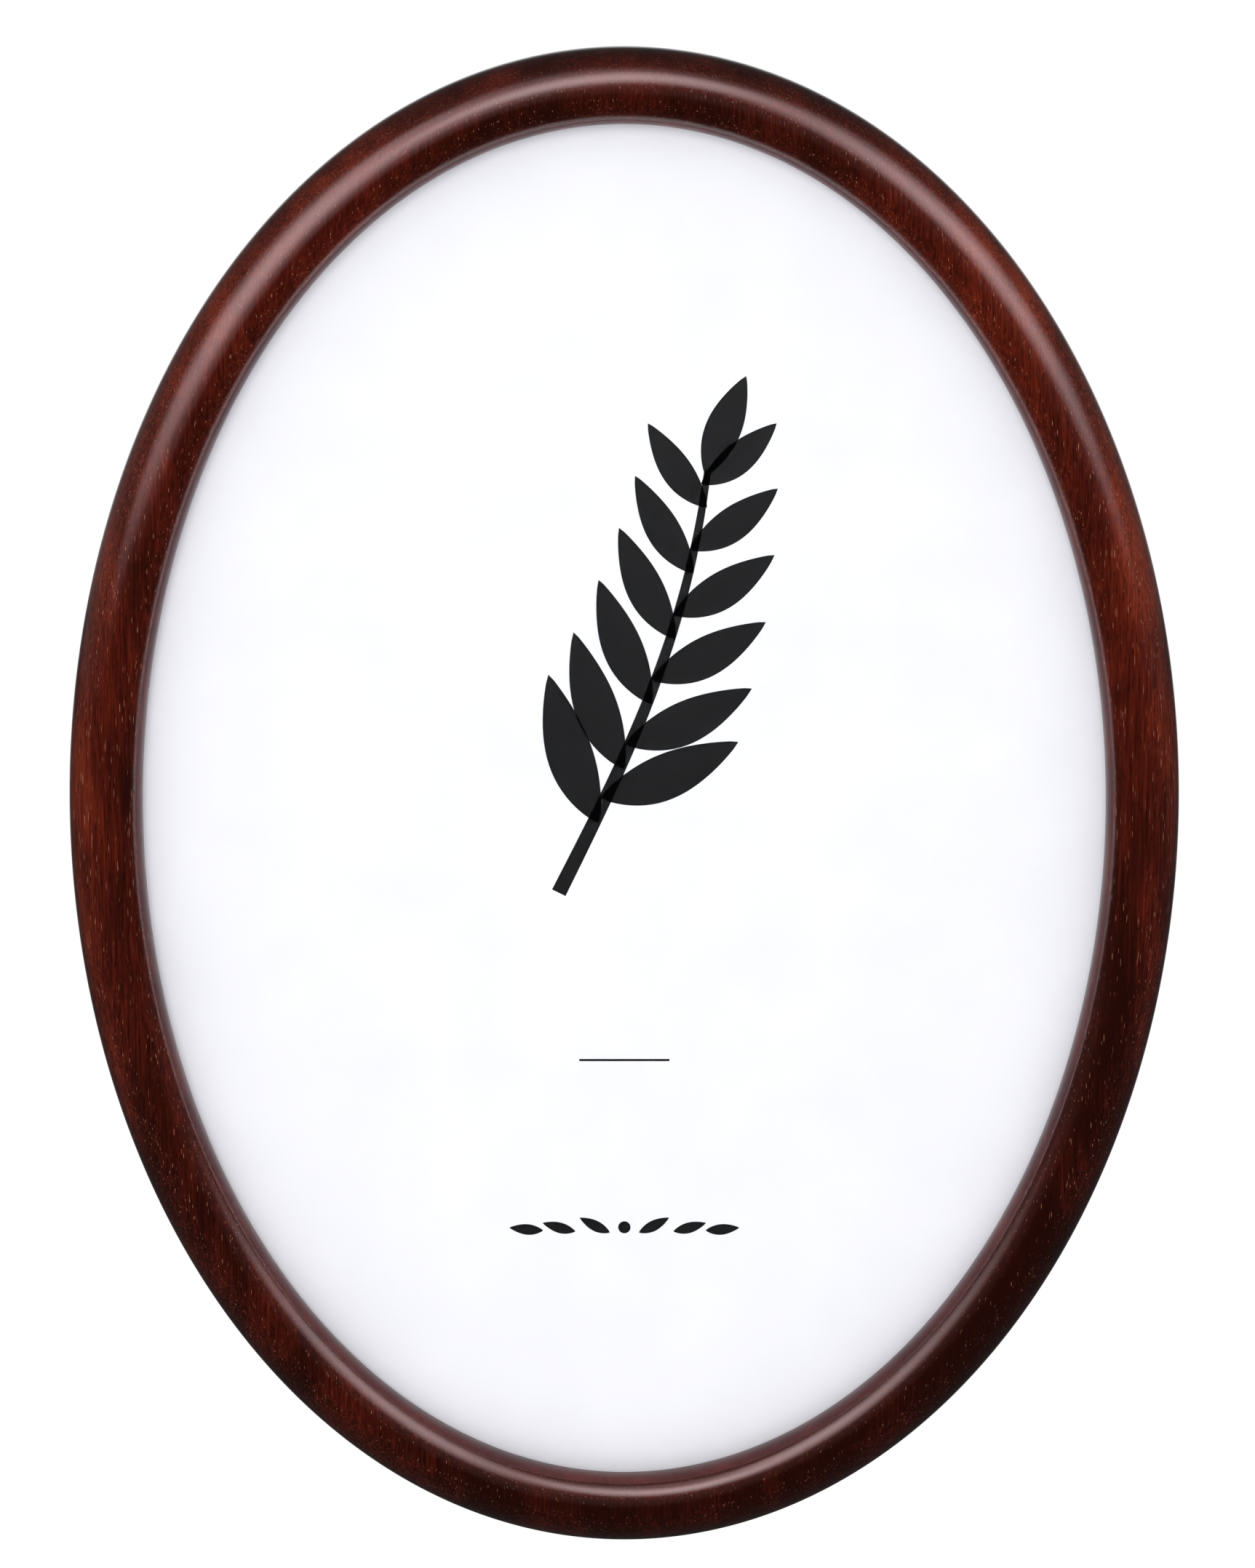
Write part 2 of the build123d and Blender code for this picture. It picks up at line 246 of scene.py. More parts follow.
    # The lacquer fills the grain but not level: ripples 2 mm wide and 8 mm long, and pits over the pores
    ripple_space = add(tree, "Mapping", {"Vector": placed, "Scale": (420, 420, 120)}).outputs[0]
    ripple = add(tree, "TexNoise", {"Vector": ripple_space, "Scale": 1.0, "Detail": 3.0}).outputs[0]
    height = add(tree, "Math", {0: pore_mask, 1: -0.35, 2: ripple}, operation="MULTIPLY_ADD").outputs[0]
    height = add(
        tree, "Math", {0: streaks.outputs[0], 1: 0.25, 2: height}, operation="MULTIPLY_ADD"
    ).outputs[0]
    bump = add(tree, "Bump", {"Strength": 0.45, "Distance": 0.00005, "Height": height}).outputs[0]

    shader = add(
        tree,
        "BsdfPrincipled",
        {
            "Base Color": colour,
            "Roughness": 0.3,
            "Specular IOR Level": 0.42,
            "Specular Tint": linear("ff6a50"),
            "Coat Weight": 1.0,
            "Coat Roughness": 0.09,
            "Coat IOR": 1.5,
            "Normal": bump,
            "Coat Normal": bump,
        },
    )
    add(tree, "OutputMaterial", {"Surface": shader.outputs[0]})
    return made


def sealed_mahogany():
    """The same wood where only stain and a thin sealer reach it.

    That is the last millimetre at the sight edge, the rebate and the back. It shines less sharply than
    lacquer, and redder.
    """
    made, tree = material("mahogany_stained_wood_sealed")
    coord = add(tree, "TexCoord").outputs["Object"]
    # Streaks 0.5 mm wide and 12 mm long, and patches of stain 15 mm across
    streak_space = add(tree, "Mapping", {"Vector": coord, "Scale": (2000, 2000, 85)}).outputs[0]
    streaks = add(
        tree, "TexNoise", {"Vector": streak_space, "Scale": 1.0, "Detail": 4.0, "Roughness": 0.6}
    ).outputs[0]
    patches = add(tree, "TexNoise", {"Vector": coord, "Scale": 65.0, "Detail": 3.0}).outputs[0]
    tone = add(tree, "Math", {0: streaks, 1: 0.6}, operation="MULTIPLY").outputs[0]
    tone = add(tree, "Math", {0: patches, 1: 0.5, 2: tone}, operation="MULTIPLY_ADD").outputs[0]
    colour = add(
        tree,
        "ValToRGB",
        {"Fac": tone},
        stops=[(0.38, linear("240804")), (0.55, linear("3a1208")), (0.74, linear("54200f"))],
    ).outputs[0]
    bump = add(tree, "Bump", {"Strength": 0.4, "Distance": 0.00005, "Height": streaks}).outputs[0]
    shader = add(
        tree,
        "BsdfPrincipled",
        {
            "Base Color": colour,
            "Roughness": 0.32,
            "Specular IOR Level": 0.45,
            "Specular Tint": linear("ffb2c0"),
            "Normal": bump,
        },
    )
    add(tree, "OutputMaterial", {"Surface": shader.outputs[0]})
    return made


def float_glass():
    """Float glass, cut and left clear.

    Only what the camera sees is mirrored and bent by it. Shadow rays and diffuse rays pass straight through,
    so the paper stays lit, and so do the lacquer's reflections.
    """
    made, tree = material("float_glass_clear")
    shader = add(
        tree,
        "BsdfPrincipled",
        {"Base Color": linear("fdfefe"), "Roughness": 0.0, "IOR": 1.5, "Transmission Weight": 1.0},
    )
    clear = add(tree, "BsdfTransparent", {"Color": grey(0.985)})
    path = add(tree, "LightPath")
    passing = path.outputs["Is Shadow Ray"]
    for other in ("Is Diffuse Ray", "Is Glossy Ray"):
        passing = add(tree, "Math", {0: passing, 1: path.outputs[other]}, operation="MAXIMUM").outputs[0]
    both = add(tree, "MixShader", {0: passing, 1: shader.outputs[0], 2: clear.outputs[0]})
    add(tree, "OutputMaterial", {"Surface": both.outputs[0]})
    return made


def insert_paper():
    """Smooth coated insert paper with a cool white tone and a barely visible formation of fibres."""
    made, tree = material("coated_paper_cool_white")
    coord = add(tree, "TexCoord").outputs["Object"]
    fibres = add(
        tree, "TexNoise", {"Vector": coord, "Scale": 900.0, "Detail": 4.0, "Roughness": 0.6}
    ).outputs[0]
    clouds = add(tree, "TexNoise", {"Vector": coord, "Scale": 45.0, "Detail": 2.0}).outputs[0]
    tone = add(tree, "Math", {0: fibres, 1: 0.4, 2: clouds}, operation="MULTIPLY_ADD").outputs[0]
    colour = add(
        tree, "ValToRGB", {"Fac": tone}, stops=[(0.45, linear("eaeaf0")), (0.95, linear("efeff5"))]
    ).outputs[0]
    bump = add(tree, "Bump", {"Strength": 0.15, "Distance": 0.00001, "Height": fibres}).outputs[0]
    shader = add(
        tree, "BsdfPrincipled", {"Base Color": colour, "Roughness": 0.62, "IOR": 1.45, "Normal": bump}
    )
    add(tree, "OutputMaterial", {"Surface": shader.outputs[0]})
    return made


def printing_ink():
    """Black offset ink, dried matt, a little thinner in places so that it isn't one dead black."""
    made, tree = material("offset_ink_black")
    coord = add(tree, "TexCoord").outputs["Object"]
    grain = add(tree, "TexNoise", {"Vector": coord, "Scale": 1400.0, "Detail": 3.0}).outputs[0]
    colour = add(
        tree, "ValToRGB", {"Fac": grain}, stops=[(0.3, linear("050506")), (0.75, linear("0b0b0d"))]
    ).outputs[0]
    shader = add(tree, "BsdfPrincipled", {"Base Color": colour, "Roughness": 0.5, "IOR": 1.48})
    add(tree, "OutputMaterial", {"Surface": shader.outputs[0]})
    return made


def fibreboard():
    """Medium density fibreboard, sanded: a tan ground with short darker and paler fibres."""
    made, tree = material("fibreboard_sanded")
    coord = add(tree, "TexCoord").outputs["Object"]
    # Fibres 0.7 mm wide in no one direction, and cloudy shading 20 mm across
    fibres = add(
        tree,
        "TexNoise",
        {"Vector": coord, "Scale": 1500.0, "Detail": 5.0, "Roughness": 0.75, "Distortion": 1.2},
    ).outputs[0]
    flecks = add(tree, "TexVoronoi", {"Vector": coord, "Scale": 700.0, "Randomness": 1.0})
    fleck = add(
        tree,
        "MapRange",
        {
            "Value": flecks.outputs["Distance"],
            "From Min": 0.08,
            "From Max": 0.25,
            "To Min": 0.35,
            "To Max": 0.0,
        },
    ).outputs[0]
    clouds = add(tree, "TexNoise", {"Vector": coord, "Scale": 50.0, "Detail": 3.0}).outputs[0]
    tone = add(tree, "Math", {0: clouds, 1: 0.16, 2: fibres}, operation="MULTIPLY_ADD").outputs[0]
    ground = add(
        tree,
        "ValToRGB",
        {"Fac": tone},
        stops=[(0.36, linear("80623f")), (0.58, linear("a07f58")), (0.8, linear("b99a72"))],
    ).outputs[0]
    colour = add(tree, "Mix", {0: fleck, 6: ground, 7: linear("5f452c")}, data_type="RGBA").outputs[2]
    bump = add(tree, "Bump", {"Strength": 0.4, "Distance": 0.00005, "Height": fibres}).outputs[0]
    shader = add(
        tree, "BsdfPrincipled", {"Base Color": colour, "Roughness": 0.82, "IOR": 1.45, "Normal": bump}
    )
    add(tree, "OutputMaterial", {"Surface": shader.outputs[0]})
    return made


def plated_metal(name, dull, bright, roughness):
    """Steel or brass plate on pressed sheet and wire: a soft shine with fine rub marks from the barrel."""
    made, tree = material(name)
    coord = add(tree, "TexCoord").outputs["Object"]
    rubs = add(
        tree, "TexNoise", {"Vector": coord, "Scale": 1800.0, "Detail": 5.0, "Roughness": 0.7}
    ).outputs[0]
    clouds = add(tree, "TexNoise", {"Vector": coord, "Scale": 260.0, "Detail": 3.0}).outputs[0]
    tone = add(tree, "Math", {0: rubs, 1: 0.5, 2: clouds}, operation="MULTIPLY_ADD").outputs[0]
    colour = add(
        tree, "ValToRGB", {"Fac": tone}, stops=[(0.5, linear(dull)), (0.95, linear(bright))]
    ).outputs[0]
    rough = add(
        tree,
        "MapRange",
        {
            "Value": rubs,
            "From Min": 0.3,
            "From Max": 0.7,
            "To Min": roughness - 0.07,
            "To Max": roughness + 0.09,
        },
    ).outputs[0]
    bump = add(tree, "Bump", {"Strength": 0.2, "Distance": 0.00002, "Height": rubs}).outputs[0]
    shader = add(
        tree, "BsdfPrincipled", {"Base Color": colour, "Metallic": 1.0, "Roughness": rough, "Normal": bump}
    )
    add(tree, "OutputMaterial", {"Surface": shader.outputs[0]})
    return made


WOOD = lacquered_mahogany()
SEALED_WOOD = sealed_mahogany()
GLASS = float_glass()
PAPER = insert_paper()
INK = printing_ink()
BOARD = fibreboard()
ZINC = plated_metal("zinc_plated_steel", "9fa3a8", "c9ccd0", 0.34)
BRASS = plated_metal("brass_plated_steel", "b08a45", "dcb86f", 0.28)


def mesh_piece(name, points, faces, finish, body, node=None):
    """A piece from its points in millimetres and its faces, turned outwards if its volume is negative."""
    points = np.asarray(points, float).reshape(-1, 3) * MM
    made = bpy.data.meshes.new(name)
    made.from_pydata(points.tolist(), [], [list(map(int, face)) for face in faces])
    made.calc_loop_triangles()
    corners = np.empty(len(made.loop_triangles) * 3, np.int32)
    made.loop_triangles.foreach_get("vertices", corners)
    a, b, c = points[corners.reshape(-1, 3)].transpose(1, 0, 2)
    if np.einsum("ij,ij->i", a, np.cross(b, c)).sum() < 0:
        made.flip_normals()
    made.polygons.foreach_set("use_smooth", np.ones(len(made.polygons), bool))
    made.set_sharp_from_angle(angle=radians(SHARP_ANGLE))
    made.materials.append(finish)
    piece = bpy.data.objects.new(name, made)
    bpy.context.scene.collection.objects.link(piece)
    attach(piece, body)
    if node:
        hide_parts(node)
    return piece


def grid_faces(rows, columns, start=0):
    """Quads between rows of points, each row closed round."""
    row = np.arange(rows - 1)[:, None] * columns
    column = np.arange(columns)[None, :]
    after = (column + 1) % columns
    quads = np.stack([row + column, row + after, row + columns + after, row + columns + column], axis=-1)
    return (quads.reshape(-1, 4) + start).tolist()


def closed_faces(rows, columns, start=0):
    """The same quads, and an end face over the first row and over the last, all turned the same way."""
    first = range(start, start + columns)
    last = range(start + (rows - 1) * columns, start + rows * columns)
    return grid_faces(rows, columns, start) + [list(first)[::-1], list(last)]


def arc(centre_u, centre_d, radius, start, turn, count):
    """Points of an arc: its centre plus the radius turned by each angle, in degrees."""
    angle = np.radians(np.linspace(start, start + turn, count))
    return np.stack([centre_u + radius * np.cos(angle), centre_d + radius * np.sin(angle)], axis=-1)


def moulding_section():
    """The closed section: quarter round, outer round and flank as tangent arcs, then side, back and rebate.

    Each point is its distance outside the sight edge and its depth behind the crest.
    """
    span = MOULDING_WIDTH - INNER_ROUND
    drop = OUTER_CROWN_DEPTH - OUTER_ROUND
    flank = (span**2 + OUTER_CROWN_DEPTH**2 - 2 * OUTER_CROWN_DEPTH * OUTER_ROUND) / (
        2 * (span - OUTER_ROUND)
    )
    turn = degrees(atan2(drop, flank - span))
    side_end = MOULDING_DEPTH - BACK_EDGE_RADIUS
    ease = EDGE_EASE
    return np.concatenate(
        [
            arc(INNER_ROUND, INNER_ROUND, INNER_ROUND, 180, 90, INNER_POINTS)[:-1],
            arc(INNER_ROUND, OUTER_ROUND, OUTER_ROUND, 270, 90 - turn, OUTER_POINTS)[:-1],
            arc(MOULDING_WIDTH - flank, OUTER_CROWN_DEPTH, flank, -turn, turn, FLANK_POINTS),
            arc(MOULDING_WIDTH - BACK_EDGE_RADIUS, side_end, BACK_EDGE_RADIUS, 0, 90, BACK_EDGE_POINTS),
            arc(REBATE_WALL + ease, MOULDING_DEPTH - ease, ease, 90, 90, EASE_POINTS),
            [[REBATE_WALL, LIP_DEPTH]],
            arc(ease, LIP_DEPTH - ease, ease, 90, 90, EASE_POINTS),
        ]
    )


def sight_offset(angle, offset):
    """Point at a distance outside the sight ellipse, measured along the ellipse's normal."""
    normal_x = SIGHT_HALF_HEIGHT * np.cos(angle)
    normal_z = SIGHT_HALF_WIDTH * np.sin(angle)
    length = np.hypot(normal_x, normal_z)
    x = SIGHT_HALF_WIDTH * np.cos(angle) + offset * normal_x / length
    z = SIGHT_HALF_HEIGHT * np.sin(angle) + offset * normal_z / length
    return x, z


def glue_angle(offset):
    """Angle at which each offset curve crosses the glue plane, by halving the interval."""
    low, high = np.zeros_like(offset), np.full_like(offset, pi / 2)
    for _ in range(HALVINGS):
        middle = (low + high) / 2
        outside = sight_offset(middle, offset)[0] > GLUE_LINE
        low, high = np.where(outside, middle, low), np.where(outside, high, middle)
    return low


def stain_and_painted_shading(angle, offset):
    """How much deeper the stain has gone in at each point of the ring, with painted shade and painted light.

    Darker towards the top and the bottom, most at the top. Painted shade darkens the lower right and the
    lower left. Painted light makes the outer side paler, less so below and towards the top and the bottom.
    """
    across = np.abs(SIGHT_HALF_WIDTH * np.sin(angle)) / np.hypot(
        SIGHT_HALF_HEIGHT * np.cos(angle), SIGHT_HALF_WIDTH * np.sin(angle)
    )
    # Darker towards the top and the bottom, most at the top
    top_bottom_darkening = np.where(np.sin(angle) > 0, TOP_DARKENING, BOTTOM_DARKENING)
    stain_and_shading = STAIN_GROUND + across**TOP_BOTTOM_POWER * top_bottom_darkening
    # Painted shade: darker on the lower right and the lower left
    for strength, below, narrow in PAINTED_SHADE_RUNS:
        stain_and_shading = stain_and_shading + strength * ((1 + np.cos(angle + radians(below))) / 2) ** narrow
    # Painted light: the outer side paler, more on the upper part and less towards the top and the bottom
    upper = np.clip((np.sin(angle) + PAINTED_LIGHT_BLEND) / PAINTED_LIGHT_BLEND, 0, 1)
    outer = np.clip((offset - PAINTED_LIGHT_START) / PAINTED_LIGHT_WIDTH, 0, 1)
    painted_light = PAINTED_LIGHT_BELOW + (PAINTED_LIGHT_ABOVE - PAINTED_LIGHT_BELOW) * upper
    return stain_and_shading - outer * painted_light * (1 - PAINTED_LIGHT_TOP_BOTTOM_SHARE * across)


def ring_piece(node, start, end, count, shift):
    """One board of the ring: the section carried round the sight ellipse, each point from start to end."""
    section = moulding_section()
    share = np.linspace(0, 1, count)[:, None]
    angle = start + (end - start) * share
    x, z = sight_offset(angle, section[None, :, 0])
    y = np.broadcast_to(front_y + section[None, :, 1], x.shape)
    columns = len(section)
    faces = closed_faces(count, columns)
    points = np.stack([x, y, z], -1)
    piece = mesh_piece(node + "_moulding", points, faces, WOOD, "frame", node)
    shifts = piece.data.attributes.new("board_shift", "FLOAT_VECTOR", "POINT")
    shifts.data.foreach_set("vector", np.tile(shift, len(piece.data.vertices)))
    # How much deeper the stain has gone in, with painted shade and painted light
    stain_and_shading_values = piece.data.attributes.new("stain_and_painted_shading", "FLOAT", "POINT")
    stain_and_shading_values.data.foreach_set("value", stain_and_painted_shading(angle, section[None, :, 0]).ravel())
    # Lacquer on the crown and the side, sealer from the back edge round to the last millimetre at the sight
    piece.data.materials.append(SEALED_WOOD)
    crown_and_side = (INNER_POINTS - 1) + (OUTER_POINTS - 1) + FLANK_POINTS + BACK_EDGE_POINTS // 2
    column = np.arange(columns)
    sealed = (column < SEALED_POINTS) | (column >= crown_and_side)
    finishes = np.zeros(len(faces), np.int32)
    finishes[: (count - 1) * columns] = np.tile(sealed, count - 1)
    piece.data.polygons.foreach_set("material_index", finishes)


# Each board: the angles of its ends, its sections, and a shift of the grain, so that no two boards are alike
crossing = glue_angle(moulding_section()[:, 0])
ring_piece("ring_right", -crossing, crossing, SIDE_SECTIONS, (0.0, 0.0, 0.0))
ring_piece("ring_top", crossing, pi - crossing, END_SECTIONS, (0.31, 0.12, 0.07))
ring_piece("ring_left", pi - crossing, pi + crossing, SIDE_SECTIONS, (0.55, 0.4, 0.23))
ring_piece("ring_bottom", pi + crossing, 2 * pi - crossing, END_SECTIONS, (0.83, 0.66, 0.41))


def oval_plate(name, offset, plate_front, plate_back, seam, finish, node):
    """A flat oval plate: both faces are the offset ellipse, and its edges are eased by a small chamfer."""
    angle = np.linspace(0, 2 * pi, PLATE_POINTS, endpoint=False)
    outline = ((seam, plate_front), (0, plate_front + seam), (0, plate_back - seam), (seam, plate_back))
    rings = []
    for inset, y in outline:
        x, z = sight_offset(angle, np.full_like(angle, offset - inset))
        rings.append(np.stack([x, np.full_like(x, y), z], -1))
    faces = closed_faces(len(outline), PLATE_POINTS)
    return mesh_piece(name, np.stack(rings), faces, finish, "frame", node)


glass_front = front_y + LIP_DEPTH
sheet_front = glass_front + GLASS_THICKNESS
pane_back = sheet_front - PANE_TO_SHEET
oval_plate("glass_pane_cut", GLASS_OVERLAP, glass_front, pane_back, GLASS_SEAM, GLASS, "glass_pane")

# The print: heights above the oval's middle
SPRIG_HEIGHT = 15.0
RULE_HEIGHT = -50.0
ORNAMENT_HEIGHT = -85.0
# The sprig's stem: its foot, how far it leans, rises and bows, and its half width, less a share at the tip
STEM_FOOT = (-13.0, -31.0)
STEM_LEAN = 22.0
STEM_RISE = 84.0
STEM_BOW = 9.0
STEM_BOW_ANGLE = 2.2
STEM_HALF_WIDTH = 1.5
STEM_TAPER_SHARE = 0.55
# The pairs of leaves: the lowest one's place as a share of the stem, its length and its width, and what each
# of the three changes by from one pair to the next
LEAF_PAIRS = 6
PAIR_SHARE = 0.17
PAIR_LENGTH = 31.0
PAIR_WIDTH = 10.5
PAIR_STEP_SHARE = 0.15
PAIR_LENGTH_LOSS = 2.2
PAIR_WIDTH_LOSS = 0.7
# Degrees from the stem to the left and to the right leaf, the right leaf's length as a share of the left
# one's, and how far both bend, as a share of their length
LEFT_LEAF_ANGLE = 52
RIGHT_LEAF_ANGLE = -50
RIGHT_LEAF_SHARE = 0.94
LEAF_BEND_SHARE = 0.14
# How far a leaf starts inside its stem, how full it is, and what share of its width it loses to the tip
LEAF_ROOT = 1.2
LEAF_FULLNESS_POWER = 0.8
LEAF_TAPER_SHARE = 0.25
TIP_LEAF = (71, 21.0, 8.0, -0.05)  # its angle, length, width and bend
RULE_HALF_LENGTH = 9.0
RULE_HALF_WIDTH = 0.22
# The ornament's small leaves: how far out each starts and its angle in degrees, and then what they share
ORNAMENT_LEAVES = ((4.0, 24), (11.0, 12), (17.5, 2))
ORNAMENT_LEAF_LENGTH = 6.8
ORNAMENT_LEAF_WIDTH = 2.5
ORNAMENT_LEAF_BEND = 0.05
DOT_RISE = 0.6
DOT_RADIUS = 1.25


def leaf_outline(base, angle, length, width, bend):
    """A leaf on a midrib bent like a parabola, widest a little below its middle, that starts in its stem."""
    s = np.linspace(0, 1, LEAF_POINTS)
    half = width / 2 * np.sin(pi * s) ** LEAF_FULLNESS_POWER * (1 - LEAF_TAPER_SHARE * s)
    side = bend * length * s * s
    along = length * s - LEAF_ROOT
    right = np.stack([along, side + half], -1)
    left = np.stack([along, side - half], -1)[::-1][1:-1]
    outline = np.concatenate([right, left])
    turn = radians(angle)
    rotation = np.array([[cos(turn), sin(turn)], [-sin(turn), cos(turn)]])
    return outline @ rotation + np.asarray(base)


def ribbon_outline(line, half_widths):
    """A stroke: the line's points moved to both sides along its normals by half its width at each."""
    line = np.asarray(line, float)
    run = np.gradient(line, axis=0)
    normal = np.stack([-run[:, 1], run[:, 0]], -1) / np.linalg.norm(run, axis=1)[:, None]
    offset = normal * np.asarray(half_widths)[:, None]
    return np.concatenate([line + offset, (line - offset)[::-1]])


def dot_outline(centre, radius):
    """A round dot."""
    angle = np.linspace(0, 2 * pi, DOT_POINTS, endpoint=False)
    return np.stack([centre[0] + radius * np.cos(angle), centre[1] + radius * np.sin(angle)], -1)


def sprig_outlines():
    """A generic sprig: a leaning stem with pairs of leaves on it, and a small ornament below."""
    s = np.linspace(0, 1, STEM_POINTS)
    last = len(s) - 1
    stem_x = STEM_FOOT[0] + STEM_LEAN * s + STEM_BOW * np.sin(STEM_BOW_ANGLE * s)
    stem = np.stack([stem_x, STEM_FOOT[1] + STEM_RISE * s], -1)
    shapes = [ribbon_outline(stem, STEM_HALF_WIDTH * (1 - STEM_TAPER_SHARE * s))]
    # Pairs of leaves, shorter and narrower towards the tip, the right one a little higher, and one at the tip
    for pair in range(LEAF_PAIRS):
        at = int(round((PAIR_SHARE + PAIR_STEP_SHARE * pair) * last))
        run = stem[min(at + 1, last)] - stem[at - 1]
        heading = degrees(atan2(run[1], run[0]))
        length = PAIR_LENGTH - PAIR_LENGTH_LOSS * pair
        width = PAIR_WIDTH - PAIR_WIDTH_LOSS * pair
        left = leaf_outline(stem[at], heading + LEFT_LEAF_ANGLE, length, width, -LEAF_BEND_SHARE)
        base, length = stem[min(at + 2, last)], length * RIGHT_LEAF_SHARE
        right = leaf_outline(base, heading + RIGHT_LEAF_ANGLE, length, width, LEAF_BEND_SHARE)
        shapes += [left, right]
    shapes.append(leaf_outline(stem[-1], *TIP_LEAF))
    shapes = [shape + np.array([0.0, SPRIG_HEIGHT]) for shape in shapes]
    # Below it a thin rule, and a row of three small leaves on each side of a dot
    rule_x = np.linspace(-RULE_HALF_LENGTH, RULE_HALF_LENGTH, RULE_POINTS)
    rule = np.stack([rule_x, np.full_like(rule_x, RULE_HEIGHT)], -1)
    shapes.append(ribbon_outline(rule, np.full_like(rule_x, RULE_HALF_WIDTH)))
    for mirror in (-1, 1):
        for place, tilt in ORNAMENT_LEAVES:
            heading = tilt if mirror > 0 else 180 - tilt
            base = (mirror * place, ORNAMENT_HEIGHT)
            bend = ORNAMENT_LEAF_BEND * mirror
            shapes.append(leaf_outline(base, heading, ORNAMENT_LEAF_LENGTH, ORNAMENT_LEAF_WIDTH, bend))
    shapes.append(dot_outline((0.0, ORNAMENT_HEIGHT + DOT_RISE), DOT_RADIUS))
    return shapes


def printed_sprig():
    """The print: each outline as a flat plate of ink just in front of the insert sheet."""
    ink_back = sheet_front - INK_TO_SHEET
    points, faces, start = [], [], 0
    for outline in sprig_outlines():
        count = len(outline)
        x, z = outline.T
        if x @ np.roll(z, -1) < z @ np.roll(x, -1):  # it runs the other way round, so it is turned
            outline = outline[::-1]
        for y in (ink_back - INK_THICKNESS, ink_back):
            points.append(np.stack([outline[:, 0], np.full(count, y), outline[:, 1]], -1))
        faces += closed_faces(2, count, start)
        start += 2 * count
    return mesh_piece("insert_print", np.concatenate(points), faces, INK, "frame")


printed_sprig()


def screw_turned(place, turn):
    """A pan head screw's points and faces: a profile turned round its axis, with a cross in its crown.

    The crown is an arc of radius (r^2 + h^2) / 2h. The cross sinks by a depth that falls off to its ends.
    """
    shank, point = SCREW_SHANK_RADIUS, SCREW_POINT_LENGTH
    head, rim, ease = SCREW_HEAD_RADIUS, SCREW_HEAD_RIM, SCREW_HEAD_EASE
    rise = SCREW_HEAD_HEIGHT - rim
    crown_radius = (head**2 + rise**2) / (2 * rise)
    reach = np.concatenate(
        [
            np.linspace(head - ease, CROSS_REACH + CROWN_ROWS_END, CROWN_ROWS),
            np.linspace(CROSS_REACH + CROSS_ROWS_START, CROSS_ROWS_END, CROSS_ROWS),
        ]
    )
    crown = SCREW_HEAD_HEIGHT - crown_radius + np.sqrt(crown_radius**2 - reach**2)
    side = [
        (shank * SCREW_TIP_SHARE, -SCREW_SHANK_LENGTH),
        (shank, point - SCREW_SHANK_LENGTH),
        (shank, SCREW_HEAD_UNDER),
        (head - ease, SCREW_HEAD_UNDER),
        (head, SCREW_HEAD_UNDER + ease),
        (head, SCREW_HEAD_UNDER + rim - ease),
    ]
    profile = np.concatenate([side, np.stack([reach, SCREW_HEAD_UNDER + crown], -1)])
    rows, columns = len(profile), SCREW_COLUMNS
    angle = np.linspace(0, 2 * pi, columns, endpoint=False)
    x = profile[:, :1] * np.cos(angle)
    z = profile[:, :1] * np.sin(angle)
    wing = np.clip((CROSS_HALF_WIDTH - np.minimum(np.abs(x), np.abs(z))) / CROSS_FLANK, 0, 1)
    wing = wing * wing * (3 - 2 * wing) * (np.arange(rows) >= len(side))[:, None]
    floor_share = np.clip(1 - profile[:, :1] / CROSS_REACH, 0, 1) ** CROSS_FLOOR_POWER
    sunk = wing * CROSS_DEPTH * floor_share
    y = back_y + profile[:, 1:] - sunk
    turned_x = place[0] + x * cos(turn) - z * sin(turn)
    turned_z = place[1] + x * sin(turn) + z * cos(turn)
    points = np.stack([turned_x, y, turned_z], -1).reshape(-1, 3)
    ends = [(place[0], back_y - SCREW_SHANK_LENGTH, place[1]), (place[0], y[-1].min(), place[1])]
    faces = grid_faces(rows, columns)
    for centre, row in ((rows * columns, 0), (rows * columns + 1, rows - 1)):
        for j in range(columns):
            edge = (row * columns + j, row * columns + (j + 1) % columns)
            faces.append((centre, *(edge[::-1] if row == 0 else edge)))
    return np.concatenate([points, ends]), faces


def button_screws():
    """The six screws at the turn buttons' joints, each with its cross left at another angle, in radians."""
    points, faces, start = [], [], 0
    turns = (0.35, 1.1, 0.05, 0.8, 1.35, 0.55)
    joints = [joint for joint in frame["joints"] if joint["name"].startswith("turn_button")]
    for joint, turn in zip(joints, turns):
        place = (joint["pos_m"][0] / MM, joint["pos_m"][2] / MM)
        screw_points, screw_faces = screw_turned(place, turn)
        points.append(screw_points)
        faces += [[corner + start for corner in face] for face in screw_faces]
        start += len(screw_points)
    return mesh_piece(
        "button_screws_turned", np.concatenate(points), faces, ZINC, "frame", "button_screws"
    )


button_screws()

# The carried-over solids and their finishes
for node, finish in {
    "insert_sheet": PAPER,
    "backing_board": BOARD,
    "hanger_strap_top": BRASS,
    "hanger_strap_side": BRASS,
    "hanger_ring_top": BRASS,
    "hanger_ring_side": BRASS,
    "hanger_rivets": BRASS,
    "turn_button_right": ZINC,
    "turn_button_upper_right": ZINC,
    "turn_button_upper_left": ZINC,
    "turn_button_left": ZINC,
    "turn_button_lower_left": ZINC,
    "turn_button_lower_right": ZINC,
}.items():
    slots = frame["nodes"][node].data.materials
    slots.clear()
    slots.append(finish)


OVERHEAD_STRENGTH = 0.3  # of the room's paler part overhead in front, in reflections


